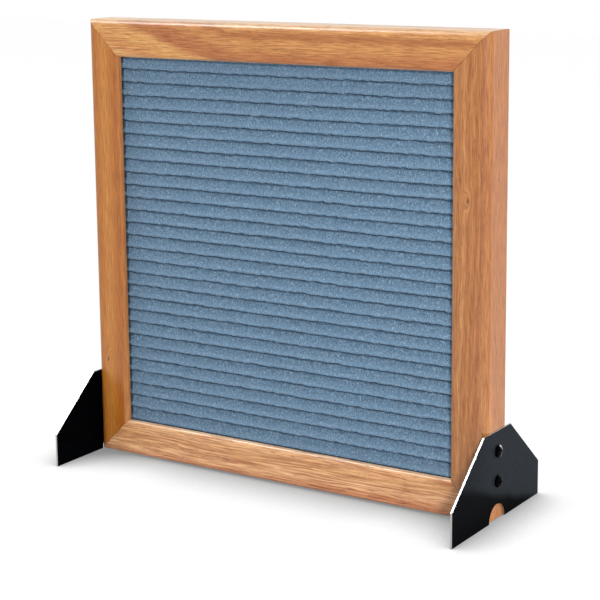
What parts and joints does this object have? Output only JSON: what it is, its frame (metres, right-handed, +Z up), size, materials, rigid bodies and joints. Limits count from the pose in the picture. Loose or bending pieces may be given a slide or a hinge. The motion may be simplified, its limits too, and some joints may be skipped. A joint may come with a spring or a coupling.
{
  "type": "letter board",
  "caption": "Free-standing letter board: a square mitred oak frame round a grooved felt panel, carried on flat black steel feet; takes changeable letters on a counter.",
  "frame": {"origin": "on the floor, under the middle of the frame (bottom centre of the bounding box)", "axes": "+Z up, -Y the way the letter face looks, +X to the right for a reader who stands in front of it"},
  "size_m": [0.3134, 0.12, 0.305],
  "materials": {
    "oak": "clear satin oil on red oak, open straight grain, warm orange brown",
    "felt": "blue-grey acrylic felt with pale flecks, matt",
    "fibreboard": "raw medium-density fibreboard with saw kerfs",
    "pine": "planed bare pine",
    "hardboard": "tempered hardboard, smooth brown face",
    "black_steel_plate": "gloss black coating with pale bare cut edges",
    "black_screw": "black oxide steel",
    "zinc_screw": "bright zinc plate",
    "nail_steel": "bare hardened strip steel"
  },
  "bodies": {
    "root": {"bottom_rail": "oak", "top_rail": "oak", "left_stile": "oak", "right_stile": "oak", "corner_nail_bottom_left_outer": "nail_steel", "corner_nail_bottom_left_inner": "nail_steel", "corner_nail_bottom_right_outer": "nail_steel", "corner_nail_bottom_right_inner": "nail_steel", "corner_nail_top_right_outer": "nail_steel", "corner_nail_top_right_inner": "nail_steel", "corner_nail_top_left_outer": "nail_steel", "corner_nail_top_left_inner": "nail_steel", "felt_facing": "felt", "letterboard_core": "fibreboard", "bottom_stop_strip": "pine", "top_stop_strip": "pine", "left_stop_strip": "pine", "right_stop_strip": "pine", "back_panel": "hardboard", "back_screw_1": "zinc_screw", "back_screw_2": "zinc_screw", "back_screw_3": "zinc_screw", "back_screw_4": "zinc_screw", "back_screw_5": "zinc_screw", "back_screw_6": "zinc_screw", "back_screw_7": "zinc_screw", "back_screw_8": "zinc_screw", "left_foot_plate": "black_steel_plate", "right_foot_plate": "black_steel_plate", "left_foot_screw_lower": "black_screw", "left_foot_screw_upper": "black_screw", "right_foot_screw_lower": "black_screw", "right_foot_screw_upper": "black_screw"}
  },
  "joints": []
}
